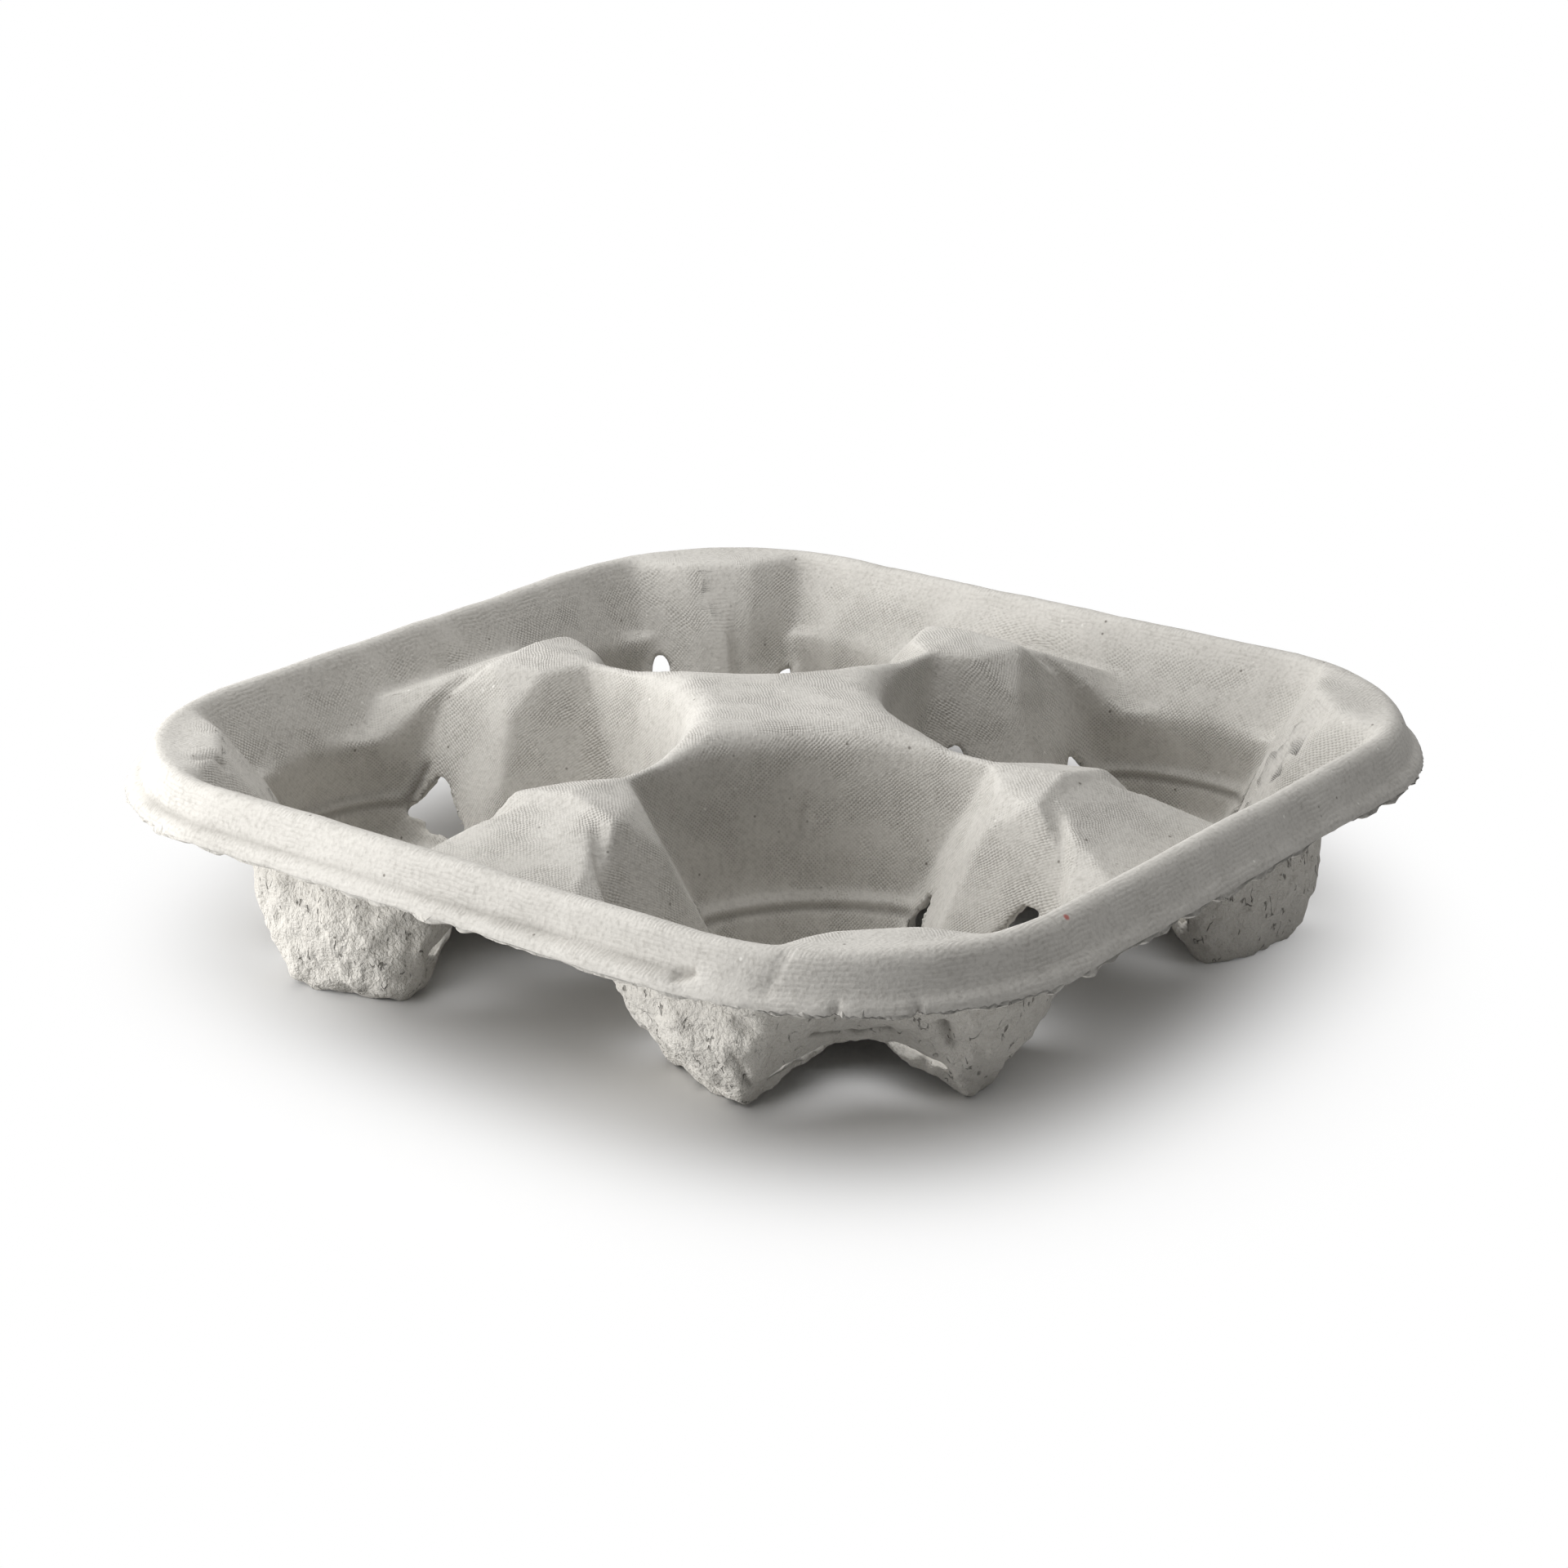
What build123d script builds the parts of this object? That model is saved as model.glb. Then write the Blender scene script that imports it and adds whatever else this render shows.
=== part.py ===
from build123d import *
import os
from math import sqrt, hypot, radians, degrees, atan2, cos, sin

# Four-cup carrier, one piece of moulded pulp. Millimetres, Z up, table at Z = 0,
# centre of the tray at X = Y = 0, sides parallel to X and Y.

wall = 2.2              # thickness of the pulp

# Rim: a rounded square band with a turned-down flange
flange_half = 107.0     # half the overall width, at the flange edge
flange_corner = 52.0    # corner radius of the flange edge
flange_z = 31.0         # height of the flange edge
crest_z = 41.0          # height of the rim
flange_run = 5.5        # how far the flange spreads outside the rim
crest_wide = 3.0        # width of the rim
inner_run = 10.2        # how far the rim's inner wall leans in
crest_round = 2.6       # rounding of the rim's outer edge
crest_bevel = 1.2       # bevel of that edge on the under side
crest_round_in = 1.4    # rounding of the rim's inner edge
basin_z = 26.0          # height of the valley inside the rim

# Cup pockets: round wells with a step in the wall and a raised middle of the floor
pocket_share = 0.43     # pocket centre in X and in Y, as a share of half the overall width
mouth_gap = 1.0         # from the upper wall at arm height to the middle of the arm
upper_draft = 5.8       # how far the wall leans in from arm height to the step
step_wide = 2.2         # width of the step
lower_draft = 2.0       # how far the wall leans in from the step to the floor
foot_wide = 3.0         # width of the foot ring
foot_bevel = 2.0        # bevel between floor and wall
step_z = 12.5           # height of the step
step_rise = 0.8         # height over which the step is made
floor_rise = 7.0        # rise of the floor at its middle
floor_flat = 14.0       # radius of the level middle

# Hub and arms between the pockets
hub_z = 45.0            # height of the hub
hub_flat = 24.0         # length of the level hub along an arm
arm_z = 42.0            # height of the arms
neck_at = 40.0          # where the arm leaves the hub's slope
arm_end = 66.0          # where the arm begins to fall to the rim
arm_low = 31.0          # height at which the arm meets the rim's inner wall
arm_wide = 27.0         # half width of the arm end at valley height
arm_lean = 1.2          # how far its flanks lean in for every millimetre up
hub_lean = 0.6          # the same nearer to the hub
hub_round = 6.5         # rounding of the hub's edges

# Fins: three in every pocket, pressed in from the corner and from the two arms
fin_round = 2.4         # rounding of the fin edges
fin_low = 6.0           # height at which the lower nose sizes are given
corner_top_u = 47.0     # nose of the corner fin from the pocket centre, at its top
corner_low_u = 20.4     # the same, low down
corner_top_w = 8.0      # half width of the nose at its top
corner_low_w = 3.5      # half width of the nose low down
corner_crease = 21.0    # half width of the fin where it meets the pocket wall
shoulder_drop = 0.6     # shoulder of the corner fin below the rim
arm_turn = 112.0        # arm fin's direction from the corner fin's, degrees
arm_fin_z = 41.2        # height of the arm fin's top at its nose
arm_fin_tilt = 0.2      # rise of that top towards the arm's middle
arm_fin_end = 68.0      # where that top ends towards the rim
arm_top_u = 39.0        # nose of the arm fin, at its top
arm_mid_u = 20.8        # nose of the arm fin, where it steepens
arm_mid_z = 21.5        # height at which it steepens
arm_low_u = 18.8        # nose of the arm fin, low down
arm_top_w = 6.0         # half width of the nose at its top
arm_low_w = 4.0         # half width of the nose low down
arm_crease = 22.0       # half width of the fin where it meets the pocket wall

# Slits that free the lower end of every fin
bite_u = 19.5           # how near the floor's notch comes to the pocket centre
tongue_z = 8.5          # lower end of a fin
corner_slit_z = 21.5    # top of a corner fin's slits
arm_slit_z = 17.5       # top of an arm fin's slits
raised_slit_z = 23.5    # top of the two arm slits that opened most
slit_peak = 14.0        # top of a slit from the fin's middle
corner_slit_in = 9.5    # edges of a corner fin's slit from the fin's middle
corner_slit_out = 16.5
arm_slit_in = 7.0       # edges of an arm fin's slit from the fin's middle
arm_slit_out = 21.0

# Sizes that follow from those above
crest_out = flange_half - flange_run        # half width where the outer flank reaches the rim
crest_in = crest_out - crest_wide           # half width where the inner wall leaves the rim
basin_half = crest_in - inner_run           # half width at the foot of the rim's inner wall
corner_at = flange_half - flange_corner     # centre of the rim's corner arcs, in X and in Y
rim_slope = inner_run / (crest_z - basin_z)
pocket_at = pocket_share * flange_half
mouth_r = pocket_at - mouth_gap             # radius of the upper wall at arm height
step_out = mouth_r - upper_draft            # radius above the step
step_in = step_out - step_wide              # radius below the step
foot_r = step_in - lower_draft              # radius of the lower wall at the floor
foot_in = foot_r - foot_wide                # radius at which the floor begins to rise
reach = flange_half                         # longer than any feature, for cutting blocks
pocket = Location((pocket_at, pocket_at, 0))
diagonal = Plane((0, 0, 0), z_dir=(1, -1, 0))


def keep_below(shape, point, normal, inset):
    """Part of shape on the inner side of a plane that is moved inwards by inset."""
    start = point - normal.normalized() * inset
    return split(shape, bisect_by=Plane(start, z_dir=normal), keep=Keep.BOTTOM)


def mouth_radius(z):
    """Radius of the pocket's upper wall at height z."""
    return step_out + (mouth_r - step_out) * (z - step_z) / (arm_z - step_z)


def square_frustum(half_a, za, half_b, zb):
    """Solid between two rounded squares, at heights za and zb, with shared corner centres."""
    outline = RectangleRounded(2 * half_a, 2 * half_a, half_a - corner_at)
    taper = degrees(atan2(half_a - half_b, zb - za))
    return Pos(0, 0, za) * extrude(outline, zb - za, taper=taper)


def half_width(point):
    """Half width of the rounded square that passes through a point."""
    x, y = abs(point.X), abs(point.Y)
    if min(x, y) > corner_at:
        return corner_at + hypot(x - corner_at, y - corner_at)
    return max(x, y)


def rim(inset):
    """Rim band with its inner basin, pared back by inset on every side."""
    lean = (flange_half - crest_out) / (crest_z - flange_z)
    side = inset * sqrt(1 + lean ** 2)
    top = crest_z - inset
    low = flange_z - (1.0 if inset else 0.0)
    band = square_frustum(flange_half - side + lean * (flange_z - low), low,
                          flange_half - side - lean * (top - flange_z), top)
    outer = band.faces().sort_by(Axis.Z)[-1].edges()
    band = chamfer(outer, crest_bevel) if inset else fillet(outer, crest_round)
    core_half = crest_out - 0.5 + (2.0 if inset else 0.0)
    core = square_frustum(core_half, 0, core_half, flange_z + 1)

    grow = inset * sqrt(1 + rim_slope ** 2)
    basin = square_frustum(basin_half + grow - rim_slope * inset, basin_z - inset,
                           crest_in + grow + rim_slope * 5, crest_z + 5)
    body = band + core - basin
    if inset:
        return body
    level = body.edges().filter_by_position(Axis.Z, top - 0.01, top + 0.01)
    return fillet([e for e in level if half_width(e @ 0.5) < crest_in + 0.2], crest_round_in)


def arm(inset):
    """Half of the arm along +X with its end sloping down to the rim."""
    limit = crest_in - 2
    outline = [(0, 0), (0, hub_z - inset), (hub_flat, hub_z - inset), (neck_at, arm_z - inset),
               (limit, arm_z - inset), (limit, 0)]
    shape = extrude(Plane.XZ * make_face(Polyline(outline, close=True)), -reach)
    meets = basin_half + rim_slope * (arm_low - basin_z)
    fall = Vector(arm_z - arm_low, 0, meets - arm_end)
    shape = keep_below(shape, Vector(arm_end, 0, arm_z), fall, inset)
    hub_side, rim_side = [keep_below(shape, Vector(0, arm_wide, basin_z), Vector(0, 1, lean), inset)
                          for lean in (hub_lean, arm_lean)]
    return split(hub_side, bisect_by=Plane((arm_end, 0, 0), z_dir=(1, 0, 0)), keep=Keep.BOTTOM) + rim_side


def well(inset):
    """Cavity of one pocket, grown by inset; the step shows on the upper face only."""
    foot_z = wall - inset
    points = [(foot_in, foot_z), (foot_r - foot_bevel + inset, foot_z),
              (foot_r + inset, foot_z + foot_bevel)]
    if inset:
        points += [(mouth_radius(step_z + 5) + inset, step_z + 5)]
    else:
        points += [(step_in, step_z), (step_out, step_z + step_rise)]
    points += [(mouth_radius(reach) + inset, reach), (0, reach), (0, foot_z + floor_rise),
               (floor_flat, foot_z + floor_rise)]
    return revolve(Plane.XZ * make_face(Polyline(points, close=True)), Axis.Z)


def flare(inset):
    """Cavity that rounds the hub's edge along one pocket, grown by inset."""
    centre_z = hub_z - hub_round
    centre_r = mouth_radius(centre_z) + hub_round
    r = hub_round - inset
    start = (centre_r - r, centre_z)
    middle = (centre_r - r * cos(radians(45)), centre_z + r * sin(radians(45)))
    end = (centre_r, centre_z + r)
    edge = Polyline([start, middle, end]) if inset else ThreePointArc(start, middle, end)
    sides = Polyline([end, (centre_r, reach), (0, reach), (0, centre_z), start])
    ring = revolve(Plane.XZ * make_face([edge, sides]), Axis.Z)
    return ring & (Rot(0, 0, 225) * Pos(reach / 2, 0, 0) * Box(reach, 3 * reach, 3 * reach))


def wedge(inset, top_z, tilt, nose, top_w, low_w, crease_w):
    """Convex fin along +X: top rising outwards by tilt, sloping nose, two flanks; pared back by inset.

    Its edges are rounded on the upper face and sharp on the under side.

    nose lists (u, z) points from the top of the nose to its lower end; top_w and low_w are
    half widths of the nose, crease_w that of the fin at the pocket wall.
    """
    shape = Pos(reach / 2, 0, reach / 2 - 5) * Box(reach, 2 * reach, reach)
    shape = keep_below(shape, Vector(nose[0][0], 0, top_z), Vector(-tilt, 0, 1), inset)
    for (ua, za), (ub, zb) in zip(nose, nose[1:]):
        shape = keep_below(shape, Vector(ua, 0, za), Vector(zb - za, 0, ua - ub), inset)
    (ut, zt), (ul, zl) = nose[0], nose[-1]
    for side in (1, -1):
        top = Vector(ut, side * top_w, zt)
        low = Vector(ul, side * low_w, zl)
        crease = Vector(crease_u(crease_w), side * crease_w, fin_low + 4)
        shape = keep_below(shape, top, (top - low).cross(crease - low) * side, inset)
    if inset:
        return shape
    inner = [e for e in shape.edges() if e.center().X < reach - 1 and e.center().Z > -4]
    inner = [e for e in inner if abs(e.center().Y) < reach - 1]
    return fillet(inner, fin_round)


def crease_u(crease_w):
    """Distance along a fin at which its flank meets the pocket wall."""
    return sqrt(step_in ** 2 - crease_w ** 2)


def corner_fin(inset):
    """Fin pressed in from the tray's corner."""
    nose = [(corner_top_u, crest_z), (corner_low_u, fin_low)]
    shoulder = crest_z - shoulder_drop
    fin = wedge(inset, shoulder, 0, nose, corner_top_w, corner_low_w, corner_crease)
    return pocket * Rot(0, 0, 45) * fin


def arm_fin(inset):
    """Fin pressed in from the arm along +X."""
    nose = [(arm_top_u, arm_fin_z), (arm_mid_u, arm_mid_z), (arm_low_u, fin_low)]
    fin = wedge(inset, arm_fin_z, arm_fin_tilt, nose, arm_top_w, arm_low_w, arm_crease)
    fin = pocket * Rot(0, 0, 45 - arm_turn) * fin
    return keep_below(fin, Vector(arm_fin_end, 0, arm_fin_z), Vector(1, 0, 1), inset)


def die(inset):
    """Everything under the tray's upper face in one quarter, pared back by inset."""
    along_x = arm(inset)
    body = rim(inset) & (Pos(reach, reach, 0) * Box(2 * reach, 2 * reach, 4 * reach))
    body = body + along_x + mirror(along_x, about=diagonal)
    body = body - pocket * well(inset) - pocket * flare(inset)
    fin_x = arm_fin(inset)
    inside = square_frustum(crest_in + crest_wide / 2, -1, crest_in + crest_wide / 2, reach)
    fins = corner_fin(inset) + fin_x + mirror(fin_x, about=diagonal)
    body = body + (fins & inside)
    return body & (Pos(reach, reach, reach) * Box(2 * reach, 2 * reach, 2 * reach))


def slit(crease_w, low_w, inner, outer, tops):
    """Cut that frees a fin lying along +X: an arch at each flank and a notch in the floor.

    tops gives the heights of the arches, first on the -Y flank and then on the +Y flank.
    """
    u = crease_u(crease_w)
    ends = crease_w + 3
    plan = [(bite_u, low_w), (bite_u + 5, low_w + 9), (u, crease_w), (u + 2, ends), (reach, ends)]
    plan = plan + [(a, -b) for a, b in reversed(plan)]
    notch = extrude(make_face(Polyline(plan, close=True)), 2 * reach, both=True)
    below, above = [[(inner, tongue_z), (slit_peak - 1.2, top), (slit_peak + 1.2, top),
                     (outer, tongue_z), (outer, tongue_z / 2), (crease_w - 0.5, -1)] for top in tops]
    arch = [(-v, z) for v, z in reversed(below)] + above
    return notch & extrude(Plane.YZ * make_face(Polyline(arch, close=True)), reach)


def slit_quarter(corner_top, x_tops, y_tops):
    """Quarter of the shell with slits at its fins; an arm's two tops are at the hub and at the rim."""
    corner_cut = slit(corner_crease, corner_low_w, corner_slit_in, corner_slit_out, (corner_top, corner_top))
    x_cut, y_cut = [pocket * Rot(0, 0, 45 - arm_turn) *
                    slit(arm_crease, arm_low_w, arm_slit_in, arm_slit_out, tops) for tops in (x_tops, y_tops)]
    return shell - pocket * Rot(0, 0, 45) * corner_cut - x_cut - mirror(y_cut, about=diagonal)


shell = die(0) - die(wall)
even = (arm_slit_z, arm_slit_z)
right_quarter = slit_quarter(corner_slit_z, even, (raised_slit_z, arm_slit_z))
plain_quarter = slit_quarter(corner_slit_z, even, even)
front_quarter = slit_quarter(tongue_z, even, (arm_slit_z, raised_slit_z))

tray = right_quarter + Rot(0, 0, 90) * plain_quarter + Rot(0, 0, 180) * plain_quarter
tray = tray + Rot(0, 0, 270) * front_quarter

os.makedirs("parts", exist_ok=True)
export_step(tray, "parts/tray.step")
print("solids", len(tray.solids()), "volume", round(tray.volume), "box", tray.bounding_box())
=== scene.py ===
# %% [markdown]
# # A moulded-pulp cup carrier
# The carrier is one sheet of paper pulp, sucked onto a wire-covered mould and dried. The side that lay on
# the wire shows its weave, and the other side is rough like felt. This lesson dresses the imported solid: the
# solid gives the form and the size, and each step below adds what the pulp does to that form.

import bmesh
import bpy
import numpy as np
from mathutils import Matrix, Vector


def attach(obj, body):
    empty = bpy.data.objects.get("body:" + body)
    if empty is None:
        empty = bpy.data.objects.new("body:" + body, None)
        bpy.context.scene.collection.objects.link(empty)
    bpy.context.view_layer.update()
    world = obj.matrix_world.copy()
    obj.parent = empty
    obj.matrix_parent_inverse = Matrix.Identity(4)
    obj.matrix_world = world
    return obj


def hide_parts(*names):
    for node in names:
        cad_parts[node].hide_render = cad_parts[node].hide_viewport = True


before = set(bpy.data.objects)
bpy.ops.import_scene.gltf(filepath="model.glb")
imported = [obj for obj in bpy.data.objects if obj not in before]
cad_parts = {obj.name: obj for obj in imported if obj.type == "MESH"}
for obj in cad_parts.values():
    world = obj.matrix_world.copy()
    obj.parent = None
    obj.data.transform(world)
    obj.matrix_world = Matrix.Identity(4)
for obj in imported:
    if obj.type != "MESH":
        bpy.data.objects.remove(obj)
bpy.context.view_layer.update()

MM = 0.001  # one millimetre in Blender's metres
scene = bpy.context.scene

# %% [markdown]
# ## An even skin
# The solid's own mesh has long thin triangles, which can't carry lumps or soft edges. The tray could be made
# again as a height over its plan, but its slits, its under side and its steep walls would then need seams of
# their own. So a copy of the solid is merged and cut into small even cells by a voxel remesh, which keeps
# wall, slits and under side in one closed skin.

# %% Copy of the solid in even cells
CELL = 0.85  # cell of the skin, mm
MERGE = 0.01  # points of the solid's triangles closer than this are one, mm


def evaluated_copy(piece):
    """The mesh that an object's modifiers give, as new mesh data."""
    return bpy.data.meshes.new_from_object(piece.evaluated_get(bpy.context.evaluated_depsgraph_get()))


def add_modifier(piece, kind, **settings):
    """Adds a modifier with its settings."""
    modifier = piece.modifiers.new(kind.lower(), kind)
    for name, value in settings.items():
        setattr(modifier, name, value)
    return modifier


def apply_modifiers(piece):
    """Replaces the piece's mesh by what its modifiers give."""
    mesh = evaluated_copy(piece)
    piece.modifiers.clear()
    piece.data = mesh


merged = bmesh.new()
merged.from_mesh(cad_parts["tray"].data)
bmesh.ops.remove_doubles(merged, verts=merged.verts, dist=MERGE * MM)
skin = bpy.data.meshes.new("pulp_tray")
merged.to_mesh(skin)
merged.free()
tray = bpy.data.objects.new("pulp_tray", skin)
scene.collection.objects.link(tray)
add_modifier(tray, "REMESH", mode="VOXEL", voxel_size=CELL * MM, use_smooth_shade=True)
apply_modifiers(tray)
print("even skin:", len(tray.data.vertices), "points")

# %% [markdown]
# ## Arrays of the skin
# Everything that follows is worked out for all points at once. The mesh is read into numpy arrays, and a few
# helpers do the work: the mean over each point's neighbours, smooth random lumps of a chosen size, smooth
# ramps, and the distance from a line.

# %% Points and edges
points = np.empty(len(tray.data.vertices) * 3)
tray.data.vertices.foreach_get("co", points)
points = points.reshape(-1, 3) / MM
edges = np.empty(len(tray.data.edges) * 2, dtype=np.int32)
tray.data.edges.foreach_get("vertices", edges)
edges = edges.reshape(-1, 2)
ends = np.concatenate([edges[:, 0], edges[:, 1]])
others = np.concatenate([edges[:, 1], edges[:, 0]])
degree = np.bincount(ends, minlength=len(points))
print("edges:", len(edges))


# %% Helpers for whole arrays
def neighbour_mean(values):
    """Mean over each point's neighbours: the values summed along the edges, divided by their number."""
    sums = [np.bincount(ends, weights=column[others], minlength=len(values)) for column in values.T]
    return np.stack(sums, axis=1) / degree[:, None]


def normals_of(place):
    """Unit normals of the skin with its points at place, in millimetres."""
    tray.data.vertices.foreach_set("co", (place * MM).ravel())
    tray.data.update()
    found = np.empty(len(place) * 3, dtype=np.float32)
    tray.data.vertex_normals.foreach_get("vector", found)
    return found.reshape(-1, 3).astype(float)


def lumps(place, size, seed):
    """Random lumps about size mm wide, from -1 to 1: random numbers on a cubic lattice, blended inside
    every cube by the weight 3t^2 - 2t^3 along each axis."""
    lattice = 64  # random numbers along each axis before they repeat
    table = np.random.default_rng(seed).uniform(-1, 1, (lattice, lattice, lattice))
    scaled = place / size + 1000  # moved so that no place is below zero
    low = np.floor(scaled).astype(int)
    weight = (scaled - low) ** 2 * (3 - 2 * (scaled - low))
    total = np.zeros(len(place))
    for corner in np.ndindex(2, 2, 2):
        share = np.prod(np.where(corner, weight, 1 - weight), axis=1)
        i, j, k = ((low + corner) % lattice).T
        total += share * table[i, j, k]
    return total


def lump_sum(place, layers):
    """Sum of lumps whose layers each give a height in mm, a width in mm and a seed."""
    return sum(height * lumps(place, size, seed) for height, size, seed in layers)


def ramp(values, low, high):
    """0 below low, 1 above high and a smooth rise between."""
    t = np.clip((values - low) / (high - low), 0, 1)
    return t * t * (3 - 2 * t)


def between(values, rise, fall):
    """0 outside and 1 inside a range: one ramp up over the pair rise, and one down over the pair fall."""
    return ramp(values, *rise) * (1 - ramp(values, *fall))


def bell(values, centre, half_width):
    """1 at the centre, falling to both sides: e to the minus square of the distance over the half width."""
    return np.exp(-((values - centre) / half_width) ** 2)


CORNER_AT = 55.0  # centre of the rim's corner arcs in x and in y, mm


def square_ring(place):
    """Half width of the rounded square through each point, and its direction outwards: what |x| and |y| are
    beyond the corner centre, taken as one vector, gives both by its length and its direction."""
    beyond = np.maximum(np.abs(place[:, :2]) - CORNER_AT, 0)
    length = np.linalg.norm(beyond, axis=1)
    return CORNER_AT + length, np.sign(place[:, :2]) * beyond / np.maximum(length, 1e-6)[:, None]


def line_distance(place, start, end):
    """Distance of each point from a straight line between two places: the point's offset from the start less
    the part of it that lies along the line, held within the line's length."""
    span = np.subtract(end, start)
    offset = place - start
    share = np.clip(offset @ span / (span @ span), 0, 1)
    return np.linalg.norm(offset - share[:, None] * span, axis=1)


print("helpers ready")

# %% [markdown]
# ## Which side, and where the sheet ends
# Every wall leans, so a point of the wire side has a normal that points up and a point of the felt side one
# that points down. At a free edge the sheet turns round within its own thickness, so the normals round it
# cancel when they are averaged. These two numbers, kept on the points, steer the relief and the materials.

# %% Edge of the sheet
mean_normals = normals_of(points)
for _ in range(3):
    mean_normals = neighbour_mean(mean_normals)
free_edge = 1 - ramp(np.linalg.norm(mean_normals, axis=1), 0.45, 0.8)
print("free edge share", round(float(free_edge.mean()), 3))

# %% [markdown]
# ## Softening
# Wet pulp bridges every sharp corner of its mould. Moving each point towards the mean of its neighbours a
# few times does the same. The rim is a fuller roll, so its points move more often, and the ledge between the
# rim and the pockets is softest. Free edges are mostly left out, because they would shrink.

# %% Soft corners and the side of the sheet
SOFT_STEPS, ROLL_STEPS, LEDGE_STEPS = 2, 9, 30  # how often all points, the rim and the ledge are moved
ROLL_RING, ROLL_Z = (93, 96), (33, 36)  # where the roll of the rim begins: half width and height, mm
LEDGE_RING, LEDGE_Z = ((72, 76), (92, 94)), ((18, 22), (36, 38))  # where the ledge begins and ends, mm
LEDGE_ALONG = (20, 26), (56, 63)  # the same along each side from its middle, mm
half, _ = square_ring(points)
heights = points[:, 2]
along = np.minimum(np.abs(points[:, 0]), np.abs(points[:, 1]))  # distance from the middle of the nearest side
roll = ramp(half, *ROLL_RING) * ramp(heights, *ROLL_Z)
ledge = between(half, *LEDGE_RING) * between(heights, *LEDGE_Z) * between(along, *LEDGE_ALONG)
for step in range(LEDGE_STEPS):
    softened = 1.0 if step < SOFT_STEPS else np.maximum(roll * (step < ROLL_STEPS), ledge)
    share = 0.5 * (1 - 0.85 * free_edge) * softened
    points = points + (neighbour_mean(points) - points) * share[:, None]
normals = normals_of(points)
wire_side = ramp(normals[:, 2], -0.06, 0.06)
print("wire side share", round(float(wire_side.mean()), 3))

# %% [markdown]
# ## Feet and torn arches
# The feet of this carrier stand a little further out than the solid's, and under three of its fins the sheet
# is torn further than elsewhere: a high arch runs from one pointed foot to the next, with the end of the fin
# close above it. One slit at the back lies lower than the others. All could be cut, but the torn sheet keeps
# its thickness. So points move: near the table outwards to the tray's corner, at the front also towards the
# fin's middle line, and up or down by an amount that depends on their height and on their distance from
# that line.

# %% Sizes of the feet and arches
POCKET_AT = 46.0  # pocket centres in x and in y, mm
FOOT_OUT, FOOT_OUT_SIDES = 3.5, 7.5  # spread of the front and back feet, and of the left and right ones, mm
FOOT_TOP = 31.0  # height at which the spread has faded, mm
SQUEEZE, SQUEEZE_Z = 0.19, 14.0  # share by which the front foot is narrower, and height where that ends, mm
EDGE_TOP, EDGE_HALF = 4.8, 22.0  # height and half width of the solid's own arches, mm
SHEET = 2.2  # thickness of the sheet, mm
FIN_END, FIN_GAP, STILL_Z = 8.5, 1.8, 20.0  # fin's lower end, gap over the arch, height left unmoved; mm
DIAGONAL = np.sqrt(0.5)
ARCHES = [  # pocket, direction of its fin, half width and height in mm, steepness of the sides
    ((1, -1), (DIAGONAL, -DIAGONAL), 20.5, 7.2, 2),
    ((-1, -1), (1, 0), 31.0, 11.0, 6),
    ((1, 1), (0, -1), 33.0, 11.0, 6),
]
SLIT_DROP, SLIT_Z, SLIT_HALF = 4.5, 21.5, 6.0  # back slit: how much lower it lies, top, half height; mm


def along_fin(place, pocket, towards):
    """How far each point lies from the pocket's centre along a fin, and to the side of it: the offset's parts
    along the fin's direction and along the direction turned by a right angle."""
    offset = place[:, :2] - np.multiply(POCKET_AT, pocket)
    return offset @ towards, offset @ (-towards[1], towards[0])


def torn_arch(place, pocket, towards, half_width, top, power):
    """Lift of each point by an arch under a fin. The arch falls from its top by a power of the distance to
    the side: the floor's edge rises to it, the fin's end to a gap over it, and the lift fades further up."""
    ahead, aside = along_fin(place, pocket, towards)
    aside, height = np.abs(aside), place[:, 2]
    arch = top * np.maximum(1 - (aside / half_width) ** power, 0)
    own = EDGE_TOP * (1 - ramp(aside, 0, EDGE_HALF))
    floor_lift, fin_lift = arch - own, arch + SHEET + FIN_GAP - FIN_END
    part_way = np.clip((height - own - SHEET) / (FIN_END - own - SHEET), 0, 1)
    lift = np.where(height < FIN_END, floor_lift + (fin_lift - floor_lift) * part_way,
                    fin_lift * (1 - ramp(height, FIN_END, STILL_Z)))
    return lift * between(ahead, (7, 17), (42, 46)) * (1 - ramp(aside, half_width - 3, half_width + 1))


print("arches:", len(ARCHES))

# %% Feet, arches and the low slit
solid_place = points.copy()  # where the points lie on the solid, for the marks below
offset = points[:, :2] - POCKET_AT * np.sign(points[:, :2])
reach = np.linalg.norm(offset, axis=1)
to_corner = np.sum(offset * np.sign(points[:, :2]), axis=1) / np.maximum(reach, 1) * DIAGONAL
beside = points[:, 0] * points[:, 1] > 0  # points of the left and right quarters
spread = np.where(beside, FOOT_OUT_SIDES, FOOT_OUT) * (1 - ramp(points[:, 2], 2, FOOT_TOP))
from_side = np.where(beside, ramp(to_corner, -0.15, 0.45), ramp(to_corner, 0.2, 0.8))
spread = spread * ramp(reach, 18, 30) * from_side
points[:, :2] += offset / np.maximum(reach, 1)[:, None] * spread[:, None]

front, across = (DIAGONAL, -DIAGONAL), np.array([DIAGONAL, DIAGONAL])
ahead, aside = along_fin(points, (1, -1), front)
narrower = SQUEEZE * aside * (1 - ramp(points[:, 2], 0, SQUEEZE_Z)) * ramp(ahead, 0, 20)
narrower = narrower * (points[:, 0] > 0) * (points[:, 1] < 0)
points[:, :2] -= narrower[:, None] * across

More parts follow.
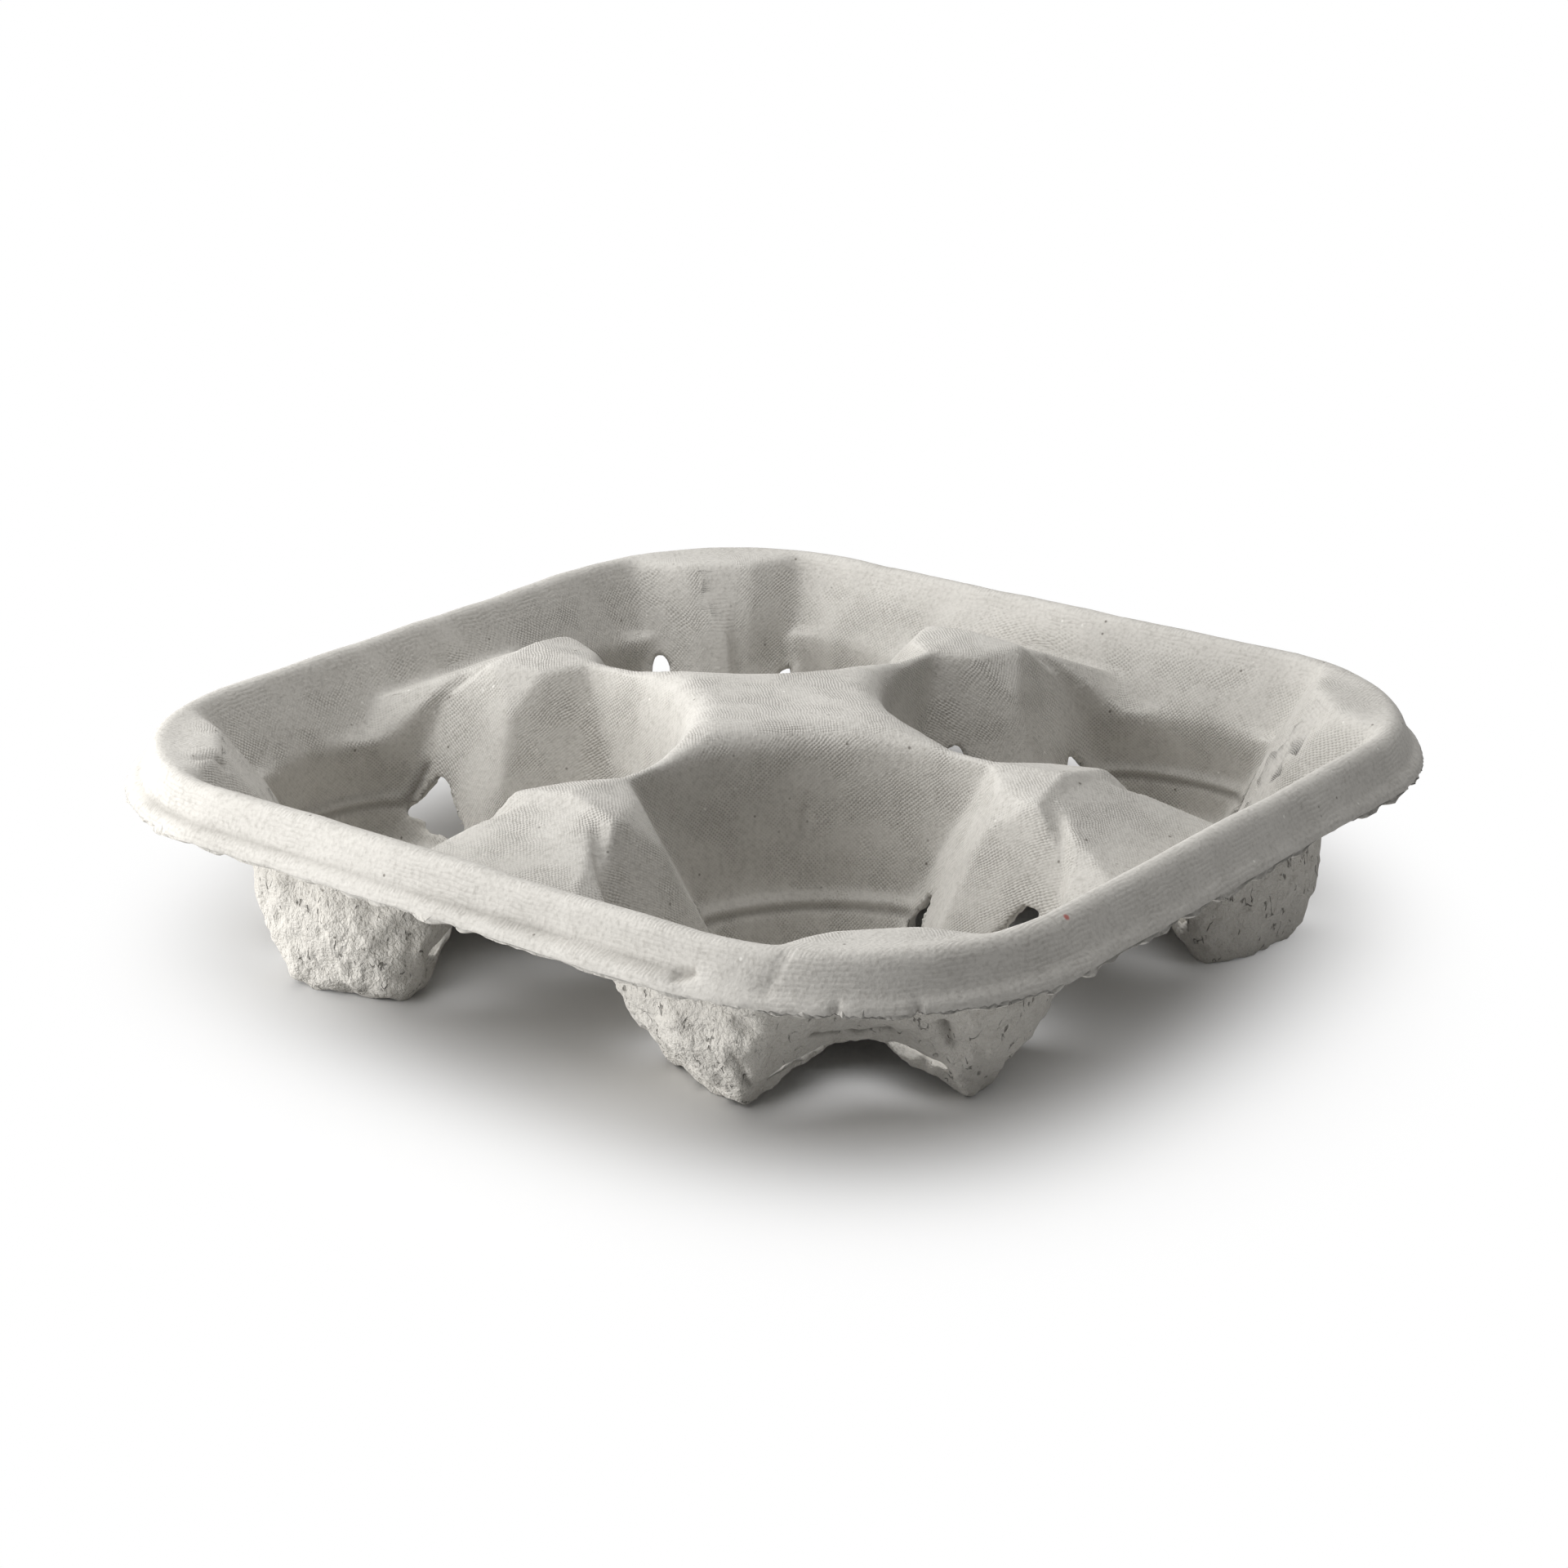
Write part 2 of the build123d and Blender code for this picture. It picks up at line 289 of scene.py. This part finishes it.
lifts = sum(torn_arch(points, *arch) for arch in ARCHES)
ahead, aside = along_fin(points, (-1, 1), (-DIAGONAL, DIAGONAL))
low_slit = bell(points[:, 2], SLIT_Z, SLIT_HALF) * ramp(ahead, 8, 14) * between(-aside, (0.5, 3), (14, 18))
lifts -= SLIT_DROP * low_slit
points[:, 2] += lifts
print("lifts mm", np.round([lifts.min(), lifts.max()], 1), "spread mm", round(float(spread.max()), 1))

# %% [markdown]
# ## Lip of the flange
# The flange ends in a lip that stands out a little, with a shallow groove above it. It could be swept round
# the rim as a strip of its own, but it is one with the sheet. So the points of the flange move straight
# outwards by an amount that depends on their height over the edge. The lip is clearest on the left front
# side and ends at a notch near the front corner.

# %% Lip and groove
FLANGE_Z = 31.0  # height of the flange edge, mm
LIP_OUT, LIP_TOP = 0.8, 2.2  # how far the lip stands out, and its height over the edge, mm
GROOVE_IN, GROOVE_AT, GROOVE_END = 1.0, 3.6, 9.0  # groove: depth, height of its bottom and its end; mm
LINE_AT, LINE_HALF = 3.5, 0.6  # height and half width of the line of painted shade in the groove, mm
FAINT, CLEARER, LINE_FROM = 0.4, 0.7, 0.3  # clearness all round, more at the left front, start of the line
half, outwards = square_ring(points)
over_edge = points[:, 2] - FLANGE_Z
lip = LIP_OUT - (LIP_OUT + GROOVE_IN) * ramp(over_edge, LIP_TOP, GROOVE_AT)
lip = lip + GROOVE_IN * ramp(over_edge, GROOVE_AT, GROOVE_END)
clearness = FAINT + CLEARER * ramp(-outwards[:, 1], 0.3, 0.8) * (1 - ramp(points[:, 0], 55, 60))
on_flange = ramp(half, 97, 99)
lip = lip * clearness * on_flange * (0.9 + 0.5 * lumps(points, 38.0, 9))
# Painted shade: a dark line along the bottom of the groove, where shade falls, clearest on the left front
# side.
groove_painted_shade = bell(over_edge, LINE_AT, LINE_HALF) * (clearness - LINE_FROM) * on_flange
points[:, :2] += outwards * lip[:, None]
normals = normals_of(points)
print("lip mm", np.round([lip.min(), lip.max()], 2))

# %% [markdown]
# ## Relief of the pulp
# The felt side dries in lumps of 2 to 7 mm, the wire side only swells a little, and free edges are ragged.
# Each is a sum of lumps of a few sizes, pushed along the normal and weighted by side and edge.

# %% Lumps and ragged edges
FELT_LUMPS = ((0.5, 7.0, 1), (0.7, 3.4, 2), (0.45, 1.9, 3))  # height in mm, width in mm, seed
WIRE_LUMPS = ((0.35, 22.0, 4), (0.12, 8.0, 5), (0.04, 2.6, 6))
EDGE_LUMPS = ((0.4, 4.5, 7), (0.4, 2.0, 8))
felt = (1 - wire_side) * lump_sum(points, FELT_LUMPS)
wire = wire_side * lump_sum(points, WIRE_LUMPS)
ragged = free_edge * lump_sum(points, EDGE_LUMPS)
points = points + normals * (felt + wire + ragged)[:, None]
normals = normals_of(points)
print("relief mm", np.round([felt.min(), felt.max(), wire.min(), wire.max()], 2))

# %% [markdown]
# ## Marks
# This carrier has a fold in its front rim, small tears at edges and slits, a dent in its left corner and a
# scratch in the front pocket. Each is a straight groove between two places, sunk along the normals and
# darkened with painted shade. A round groove of the same kind, also with painted shade, runs close under the
# step in every pocket wall.

# %% Fold, tears, dent and scratch
MARKS = [  # from, to, half width, depth, darkness of the painted shade; mm
    ((73.7, -97.1, 40.8), (72.9, -101.6, 34.6), 0.7, 0.4, 0.05),
    ((56.0, -105.3, 34.4), (59.0, -104.6, 35.2), 0.9, 0.9, 0.5),
    ((84.0, -97.6, 30.5), (83.8, -97.0, 33.2), 0.7, 0.9, 0.15),
    ((94.6, -88.4, 30.5), (94.0, -87.9, 33.2), 0.7, 1.0, 0.15),
    ((-74.4, -88.2, 40.4), (-73.6, -85.2, 40.2), 1.2, 1.0, 0.25),
    ((-73.6, -85.2, 40.2), (-71.9, -83.8, 38.1), 1.2, 1.0, 0.25),
    ((16.4, -15.6, 30.2), (16.8, -16.9, 24.1), 0.6, 0.3, 0.15),
    ((-76.6, -22.9, 19.4), (-77.3, -26.5, 12.1), 1.2, 0.5, 0.75),
    ((62.3, -73.7, 14.4), (64.4, -66.1, 11.4), 0.8, 0.6, 0.7),
    ((64.4, -66.1, 11.4), (69.4, -62.7, 12.5), 0.8, 0.6, 0.7),
    ((80.5, -61.8, 17.7), (80.0, -59.6, 14.0), 0.9, 0.9, 0.6),
    ((55.2, -86.1, 13.8), (54.1, -82.5, 8.0), 0.9, 0.6, 0.5),
]
UNDER_Z, UNDER_R, UNDER_HALF = 11.0, 33.0, 0.9  # groove under the step: height, inner radius, half width; mm
UNDER_DEPTH, UNDER_DARK = 0.7, 0.4  # its depth in mm, and the strength of the painted shade in it
dent, painted_shade = np.zeros(len(points)), 0.6 * groove_painted_shade * (0.7 + 0.6 * lumps(points, 12.0, 10))
for start, end, width, depth, dark in MARKS:
    near = bell(line_distance(solid_place, start, end), 0, width)
    dent = np.maximum(dent, near * depth)
    # Painted shade: each mark's groove, tear or crack is darkened where shade falls in it.
    painted_shade = np.maximum(painted_shade, near * dark)
# Painted shade: a dark band under the step of every pocket wall, where shade falls below the ledge.
under_step = bell(solid_place[:, 2], UNDER_Z, UNDER_HALF) * wire_side * ramp(reach, UNDER_R, UNDER_R + 2)
dent = np.maximum(dent, UNDER_DEPTH * under_step)
painted_shade = np.maximum(painted_shade, UNDER_DARK * under_step)
points = points - normals * dent[:, None]
points[:, 2] = np.maximum(points[:, 2], 0)  # the feet stand on the table
normals = normals_of(points)
print("marks:", len(MARKS), "deepest mm", round(float(dent.max()), 2))

# %% [markdown]
# ## Which way the weave runs
# The wire lies flat on level faces and upright on walls. On a wall its upright lines run round the pocket, so
# each point keeps how far round its pocket it lies, as an angle times a usual radius. Two more numbers tell
# the material whether a face is level and how clear the upright lines are: they are left out on the rim, and
# they fade at the corner behind each pocket, where the angle jumps from one end of its range to the other.

# %% Direction of every face
POCKET_R = 40.0  # usual radius of a pocket, mm
level = ramp(np.abs(normals[:, 2]), 0.6, 0.85)
half, _ = square_ring(points)
inwards = POCKET_AT - np.abs(points[:, :2])
turn = np.arctan2(inwards[:, 0] - inwards[:, 1], inwards[:, 0] + inwards[:, 1])
around = POCKET_R * turn
upright = (1 - ramp(half, 93, 97)) * (1 - ramp(np.abs(turn), np.pi - 0.12, np.pi - 0.06))
print("share of level faces", round(float(level.mean()), 3))

# %% [markdown]
# ## Fewer triangles
# The skin now has more cells than its shape needs. Decimation takes them away where the surface is plain and
# keeps them at edges and lumps.

# %% Numbers kept on the points, and a lighter mesh
MOST_TRIANGLES = 192000
kept = {"wire_side": wire_side, "free_edge": free_edge, "painted_shade": painted_shade, "level": level, "around": around,
        "upright": upright}
for name, values in kept.items():
    layer = tray.data.attributes.new(name, "FLOAT", "POINT")
    layer.data.foreach_set("value", values.astype(np.float32))
tray.data.calc_loop_triangles()
add_modifier(tray, "DECIMATE", ratio=MOST_TRIANGLES / len(tray.data.loop_triangles))
apply_modifiers(tray)
tray.data.calc_loop_triangles()
tray.data.shade_smooth()
print("triangles:", len(tray.data.loop_triangles))

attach(tray, "root")
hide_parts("tray")

# %% [markdown]
# ## Pulp
# Moulded pulp is unbleached grey paper: matt, with almost no gloss, mottled by uneven thickness and flecked
# with bits of printed paper. The wire side carries the imprint of the woven wire, the felt side has short
# cracks. All patterns read Object coordinates, scaled to millimetres.

# %% Helpers for materials
SMOOTH = {"interpolation_type": "SMOOTHSTEP"}


def linear(colour):
    """An sRGB hex colour as linear red, green, blue and alpha."""
    s = np.array([int(colour[k:k + 2], 16) for k in (1, 3, 5)]) / 255
    return (*np.where(s <= 0.04045, s / 12.92, ((s + 0.055) / 1.055) ** 2.4), 1.0)


def add_node(tree, kind, inputs=None, **settings):
    """Adds a node with its settings and gives its outputs; inputs maps a socket's name or number to a value
    or to another node's output."""
    node = tree.nodes.new(kind)
    for name, value in settings.items():
        setattr(node, name, value)
    for socket, value in (inputs or {}).items():
        if isinstance(value, bpy.types.NodeSocket):
            tree.links.new(value, node.inputs[socket])
        else:
            node.inputs[socket].default_value = value
    return node.outputs


def new_tree(owner):
    """The emptied node tree of a material or world."""
    owner.use_nodes = True
    owner.node_tree.nodes.clear()
    return owner.node_tree


print("helpers for materials ready")

# %% Moulded grey pulp: where things are
pulp = bpy.data.materials.new("moulded_grey_pulp")
tree = new_tree(pulp)
place = add_node(tree, "ShaderNodeTexCoord")["Object"]
place = add_node(tree, "ShaderNodeVectorMath", {0: place, "Scale": 1 / MM}, operation="SCALE")[0]
side = add_node(tree, "ShaderNodeAttribute", attribute_name="wire_side")["Fac"]
edge = add_node(tree, "ShaderNodeAttribute", attribute_name="free_edge")["Fac"]
# Share of painted shade in grooves, tears and under the steps, kept on the points.
painted_shade_share = add_node(tree, "ShaderNodeAttribute", attribute_name="painted_shade")["Fac"]
round_pocket = add_node(tree, "ShaderNodeAttribute", attribute_name="around")["Fac"]
flat = add_node(tree, "ShaderNodeAttribute", attribute_name="level")["Fac"]
stands = add_node(tree, "ShaderNodeAttribute", attribute_name="upright")["Fac"]
felt_side = add_node(tree, "ShaderNodeMath", {0: 1.0, 1: side}, operation="SUBTRACT")[0]
DRIFT, DRIFT_SIZE = 1.6, 5  # how far patterns wander, and over what width, mm
GRAIN_SIZE = 0.9  # fibres of the pulp, mm
drift = add_node(tree, "ShaderNodeTexNoise",
                 {"Vector": place, "Scale": 1 / DRIFT_SIZE, "Detail": 2.0})["Color"]
drift = add_node(tree, "ShaderNodeVectorMath", {0: drift, 1: (DRIFT, DRIFT, DRIFT), 2: place},
                 operation="MULTIPLY_ADD")[0]
grain = add_node(tree, "ShaderNodeTexNoise", {"Vector": place, "Scale": 1 / GRAIN_SIZE, "Detail": 4.0})["Fac"]
print("places:", len(tree.nodes), "nodes")

# %% Moulded grey pulp: weave of the wire
WIRE_PITCH = 0.8  # mm; coarser than the 0.65 mm taken for the real wire, too fine for the picture
LINE_SHARE = 0.22  # strength of the single lines on the rim
waves = 2 * np.pi / WIRE_PITCH
wave = add_node(tree, "ShaderNodeVectorMath", {0: drift, "Scale": waves}, operation="SCALE")[0]
wave = add_node(tree, "ShaderNodeVectorMath", {0: wave}, operation="SINE")[0]
wave = add_node(tree, "ShaderNodeSeparateXYZ", {0: wave})
standing = add_node(tree, "ShaderNodeMath", {0: round_pocket, 1: waves}, operation="MULTIPLY")[0]
standing = add_node(tree, "ShaderNodeMath", {0: standing}, operation="SINE")[0]
standing = add_node(tree, "ShaderNodeMix", {"Factor": flat, 2: standing, 3: wave[1]})[0]
lying = add_node(tree, "ShaderNodeMix", {"Factor": flat, 2: wave[2], 3: wave[0]})[0]
knots = add_node(tree, "ShaderNodeMath", {0: standing, 1: lying}, operation="MULTIPLY")[0]
lines = add_node(tree, "ShaderNodeMath", {0: lying, 1: LINE_SHARE}, operation="MULTIPLY")[0]
weave = add_node(tree, "ShaderNodeMix", {"Factor": stands, 2: lines, 3: knots})[0]
clear = add_node(tree, "ShaderNodeTexNoise", {"Vector": place, "Scale": 1 / 9, "Detail": 3.0})["Fac"]
clear = add_node(tree, "ShaderNodeMapRange", {"Value": clear, 1: 0.38, 2: 0.66, 3: 0.2, 4: 1.0}, **SMOOTH)[0]
weave = add_node(tree, "ShaderNodeMath", {0: weave, 1: clear}, operation="MULTIPLY")[0]
weave = add_node(tree, "ShaderNodeMath", {0: weave, 1: side}, operation="MULTIPLY")[0]
print("with weave:", len(tree.nodes), "nodes")

# %% Moulded grey pulp: cracks of the felt side
CRACK_LEAN = (0.25, -0.3, 0.0)  # turn of the cracks, radians
CRACK_SCALE = (0.45, 0.45, 0.14)  # cracks are about three times as long upright as across
BROKEN_SIZE = 2.8  # width of the patches in which cracks show, mm
tall = add_node(tree, "ShaderNodeMapping", {"Vector": drift, "Rotation": CRACK_LEAN, "Scale": CRACK_SCALE})[0]
ridge = add_node(tree, "ShaderNodeTexNoise", {"Vector": tall, "Scale": 1.0, "Detail": 2.0})["Fac"]
ridge = add_node(tree, "ShaderNodeMath", {0: ridge, 1: 0.5}, operation="SUBTRACT")[0]
ridge = add_node(tree, "ShaderNodeMath", {0: ridge}, operation="ABSOLUTE")[0]
crack = add_node(tree, "ShaderNodeMapRange",
                 {"Value": ridge, 1: 0.006, 2: 0.026, 3: 1.0, 4: 0.0}, **SMOOTH)[0]
broken = add_node(tree, "ShaderNodeTexNoise",
                  {"Vector": place, "Scale": 1 / BROKEN_SIZE, "Detail": 2.0})["Fac"]
broken = add_node(tree, "ShaderNodeMapRange", {"Value": broken, 1: 0.57, 2: 0.65}, **SMOOTH)[0]
crack = add_node(tree, "ShaderNodeMath", {0: crack, 1: broken}, operation="MULTIPLY")[0]
crack = add_node(tree, "ShaderNodeMath", {0: crack, 1: felt_side}, operation="MULTIPLY")[0]
print("with cracks:", len(tree.nodes), "nodes")

# %% Moulded grey pulp: shares of the colours
MOTTLE_SIZE, SPECK_SIZE = 11, 3.6  # widths of cloudy patches and of the cells that hold one speck, mm
RED_AT = (101.6, -55.0, 40.4)  # place of the red fleck on the right front rim, mm
mottle = add_node(tree, "ShaderNodeTexNoise",
                  {"Vector": place, "Scale": 1 / MOTTLE_SIZE, "Detail": 4.0})["Fac"]
mottle = add_node(tree, "ShaderNodeMapRange", {"Value": mottle, 1: 0.3, 2: 0.7}, **SMOOTH)[0]
strong = add_node(tree, "ShaderNodeMapRange", {"Value": side, 3: 0.35, 4: 1.0})[0]
mottle = add_node(tree, "ShaderNodeMath", {0: mottle, 1: strong}, operation="MULTIPLY")[0]
pale = add_node(tree, "ShaderNodeMapRange", {"Value": grain, 1: 0.35, 2: 0.75, 3: 0.35, 4: 0.0}, **SMOOTH)[0]
dusk = add_node(tree, "ShaderNodeMapRange", {"Value": grain, 1: 0.55, 2: 0.8, 3: 0.0, 4: 0.24}, **SMOOTH)[0]
pores = add_node(tree, "ShaderNodeMapRange", {"Value": weave, 1: -0.7, 2: 0.0, 3: 0.5, 4: 0.0})[0]
specks = add_node(tree, "ShaderNodeTexVoronoi", {"Vector": place, "Scale": 1 / SPECK_SIZE})
chance = add_node(tree, "ShaderNodeSeparateColor", {0: specks["Color"]})
dot = add_node(tree, "ShaderNodeMapRange", {"Value": specks["Distance"], 1: 0.05, 2: 0.11, 3: 1.0, 4: 0.0})[0]
flecks = []
for lot, share in ((1, 0.6), (0, 0.75)):  # pale flecks first, then dark ones
    few = add_node(tree, "ShaderNodeMapRange", {"Value": chance[lot], 1: 0.72, 2: 0.8, 3: 0.0, 4: share})[0]
    flecks.append(add_node(tree, "ShaderNodeMath", {0: dot, 1: few}, operation="MULTIPLY")[0])
# Painted shade from the points joins the darkness of the felt cracks.
dark = add_node(tree, "ShaderNodeMath", {0: crack, 1: 0.6, 2: painted_shade_share},
                operation="MULTIPLY_ADD", use_clamp=True)[0]
bare = add_node(tree, "ShaderNodeMath", {0: edge, 1: 0.5}, operation="MULTIPLY")[0]
red = add_node(tree, "ShaderNodeVectorMath", {0: place, 1: RED_AT}, operation="DISTANCE")["Value"]
red = add_node(tree, "ShaderNodeMapRange", {"Value": red, 1: 0.4, 2: 0.8, 3: 0.8, 4: 0.0})[0]
print("with shares:", len(tree.nodes), "nodes")

# %% Moulded grey pulp: colours laid over each other
FELT_GREY, WIRE_GREY = "#DAD6CE", "#C3C0BA"
LAYERS = [  # share of each layer, and its colour, from the lowest to the topmost
    (mottle, "#B7B4AE"), (pale, "#DCD9D3"), (dusk, "#97928A"), (pores, "#858079"),
    # 57524A: painted shade in grooves, tears and under the steps, and the colour of the felt cracks
    (flecks[0], "#ECEAE4"), (flecks[1], "#5B554D"), (dark, "#57524A"), (bare, "#DAD6CC"), (red, "#B4574F"),
]
colour = add_node(tree, "ShaderNodeMix", {"Factor": side, 6: linear(FELT_GREY), 7: linear(WIRE_GREY)},
                  data_type="RGBA")[2]
for share, tint in LAYERS:
    colour = add_node(tree, "ShaderNodeMix", {"Factor": share, 6: colour, 7: linear(tint)},
                      data_type="RGBA")[2]
print("with colours:", len(tree.nodes), "nodes")

# %% Moulded grey pulp: height in millimetres, and the shader
ROUGH_SIZE, ROUGH_HEIGHT = 2.2, 1.5  # width and height of the felt side's roughness, mm
WEAVE_HEIGHT, GRAIN_HEIGHT, CRACK_HEIGHT = 0.075, 0.14, -0.6  # mm
rough = add_node(tree, "ShaderNodeTexNoise", {"Vector": place, "Scale": 1 / ROUGH_SIZE, "Detail": 4.0,
                                              "Roughness": 0.65})["Fac"]
rough = add_node(tree, "ShaderNodeMath", {0: rough, 1: felt_side}, operation="MULTIPLY")[0]
height = add_node(tree, "ShaderNodeMath", {0: weave, 1: WEAVE_HEIGHT}, operation="MULTIPLY")[0]
for part, amount in ((grain, GRAIN_HEIGHT), (rough, ROUGH_HEIGHT), (crack, CRACK_HEIGHT)):
    height = add_node(tree, "ShaderNodeMath", {0: part, 1: amount, 2: height}, operation="MULTIPLY_ADD")[0]
relief = add_node(tree, "ShaderNodeBump", {"Strength": 1.0, "Distance": MM, "Height": height})[0]
shader = add_node(tree, "ShaderNodeBsdfPrincipled", {"Base Color": colour, "Roughness": 0.92, "IOR": 1.45,
                                                     "Specular IOR Level": 0.25, "Normal": relief})[0]
add_node(tree, "ShaderNodeOutputMaterial", {"Surface": shader})
tray.data.materials.clear()
tray.data.materials.append(pulp)
print("material", pulp.name, len(tree.nodes), "nodes")

# %% [markdown]
# ## Floor
# The carrier stands on a white table that runs out of sight. Near the carrier the floor is a plain white
# surface that takes its shadow; further out it turns into even white for the camera. The shadow reaches
# further towards the camera than to the sides, so the distance is measured in an oval that is turned to the
# camera. For the light that it throws back up at the feet the table is greyer, so that their shaded sides
# stay dark.

# %% White floor
FLOOR_HALF = 6.0  # half width of the table, m
CAMERA_TURN = 36.874  # direction of the camera round the carrier, degrees
OVAL = (0.1, 0.13, 1.0)  # half axes of the shadow's oval, across and towards the camera, m
WHITE_FROM, WHITE_TO = 0.8, 1.45  # where the floor begins and ends to turn white, in half axes
SEEN_WHITE, BOUNCE_WHITE = "#F6F6F6", "#D2D2D2"  # the table for the camera, and for the light it throws back


def seen_directly(tree):
    """1 for rays sent out by the camera, by gloss or by glass, and 0 for all others."""
    paths = add_node(tree, "ShaderNodeLightPath")
    glossy = add_node(tree, "ShaderNodeMath", {0: paths["Is Camera Ray"], 1: paths["Is Glossy Ray"]},
                      operation="MAXIMUM")[0]
    return add_node(tree, "ShaderNodeMath", {0: glossy, 1: paths["Is Transmission Ray"]},
                    operation="MAXIMUM")[0]


corners = [(x, y, 0) for x, y in ((-FLOOR_HALF, -FLOOR_HALF), (FLOOR_HALF, -FLOOR_HALF),
                                  (FLOOR_HALF, FLOOR_HALF), (-FLOOR_HALF, FLOOR_HALF))]
floor_mesh = bpy.data.meshes.new("floor")
floor_mesh.from_pydata(corners, [], [(0, 1, 2, 3)])
floor = bpy.data.objects.new("floor", floor_mesh)
scene.collection.objects.link(floor)
table = bpy.data.materials.new("white_table")
tree = new_tree(table)
spot = add_node(tree, "ShaderNodeTexCoord")["Object"]
spot = add_node(tree, "ShaderNodeMapping", {"Vector": spot, "Rotation": (0, 0, -np.radians(CAMERA_TURN))})[0]
spot = add_node(tree, "ShaderNodeVectorMath", {0: spot, 1: OVAL}, operation="DIVIDE")[0]
away = add_node(tree, "ShaderNodeVectorMath", {0: spot}, operation="LENGTH")["Value"]
far = add_node(tree, "ShaderNodeMapRange", {"Value": away, 1: WHITE_FROM, 2: WHITE_TO}, **SMOOTH)[0]
seen = seen_directly(tree)
far = add_node(tree, "ShaderNodeMath", {0: far, 1: seen}, operation="MULTIPLY")[0]
top = add_node(tree, "ShaderNodeMix", {"Factor": seen, 6: linear(BOUNCE_WHITE), 7: linear(SEEN_WHITE)},
               data_type="RGBA")[2]
white = add_node(tree, "ShaderNodeBsdfDiffuse", {"Color": top})[0]
glow = add_node(tree, "ShaderNodeEmission", {"Color": linear("#FFFFFF"), "Strength": 1.0})[0]
mixed = add_node(tree, "ShaderNodeMixShader", {0: far, 1: white, 2: glow})[0]
add_node(tree, "ShaderNodeOutputMaterial", {"Surface": mixed})
floor_mesh.materials.append(table)
print("material", table.name, len(tree.nodes), "nodes")

# %% [markdown]
# ## Light
# One soft lamp stands to the left of the camera, so faces that look that way are bright and those that look
# right fall to mid grey. A low one beside it reaches under the rim to the feet, and a third hangs above. They
# would throw shadows over the table to one side, so the table has a very wide lamp of its own, and each lamp
# lights only what it is meant for. A white surround fills in.


# %% Lamps and surround
def add_lamp(name, place_m, wide, tall, power, piece):
    """A soft lamp of a width and height in metres, turned to the carrier, that lights one piece."""
    lamp = bpy.data.objects.new(name, bpy.data.lights.new(name, "AREA"))
    lamp.data.shape, lamp.data.size, lamp.data.size_y = "RECTANGLE", wide, tall
    lamp.data.energy = power
    lamp.location = place_m
    lamp.rotation_mode = "QUATERNION"
    lamp.rotation_quaternion = (Vector(place_m) - Vector((0, 0, 0.02))).to_track_quat("Z", "Y")
    scene.collection.objects.link(lamp)
    lit = bpy.data.collections.new(name + "_lights")
    lit.objects.link(piece)
    lamp.light_linking.receiver_collection = lit


add_lamp("key", (-0.43, -0.46, 0.22), wide=0.5, tall=0.4, power=3.7, piece=tray)
add_lamp("low", (-0.42, -0.45, 0.06), wide=0.5, tall=0.1, power=1.5, piece=tray)
add_lamp("top", (-0.32, 0.05, 1.08), wide=0.8, tall=0.8, power=10.0, piece=tray)
add_lamp("over_table", (-0.1, -0.15, 1.2), wide=2.5, tall=2.5, power=31.0, piece=floor)
ROOM_LIGHT = 0.185  # strength of the white surround for light on faces; the camera sees it at full white
world = bpy.data.worlds.new("white_room")
scene.world = world
tree = new_tree(world)
strength = add_node(tree, "ShaderNodeMapRange", {"Value": seen_directly(tree), 3: ROOM_LIGHT, 4: 1.0})[0]
room = add_node(tree, "ShaderNodeBackground", {"Color": linear("#FFFFFF"), "Strength": strength})[0]
add_node(tree, "ShaderNodeOutputWorld", {"Surface": room})
print("lamps and surround set")

# %% [markdown]
# ## Camera
# The camera looks down at the carrier's front corner from about twenty degrees. Its place, turn and lens were
# worked out from the tray's own square outline.

# %% Camera
TURN, RISE, ROLL = np.radians([CAMERA_TURN, 19.674, 0.519])
DISTANCE, AIM = 706.12, np.array([-12.804, 16.896, 18.791])  # mm
FOCAL_SHARE = 4172.5 / 1920  # focal length as a share of the picture's width
SENSOR = 36.0  # mm
back = np.array([np.sin(TURN) * np.cos(RISE), -np.cos(TURN) * np.cos(RISE), np.sin(RISE)])
right = np.array([np.cos(TURN), np.sin(TURN), 0.0])
up = np.cross(back, right)
right, up = right * np.cos(ROLL) + up * np.sin(ROLL), up * np.cos(ROLL) - right * np.sin(ROLL)
pose = np.eye(4)
pose[:3, :3] = np.stack([right, up, back], axis=1)
pose[:3, 3] = (AIM + back * DISTANCE) * MM
camera = bpy.data.objects.new("camera", bpy.data.cameras.new("camera"))
camera.data.sensor_width = SENSOR
camera.data.lens = SENSOR * FOCAL_SHARE
camera.data.clip_start, camera.data.clip_end = 0.01, 30.0
camera.matrix_world = Matrix(pose.tolist())
scene.collection.objects.link(camera)
scene.camera = camera
scene.view_settings.view_transform = "Standard"
print("camera at", np.round(pose[:3, 3], 4), "lens", round(camera.data.lens, 2))
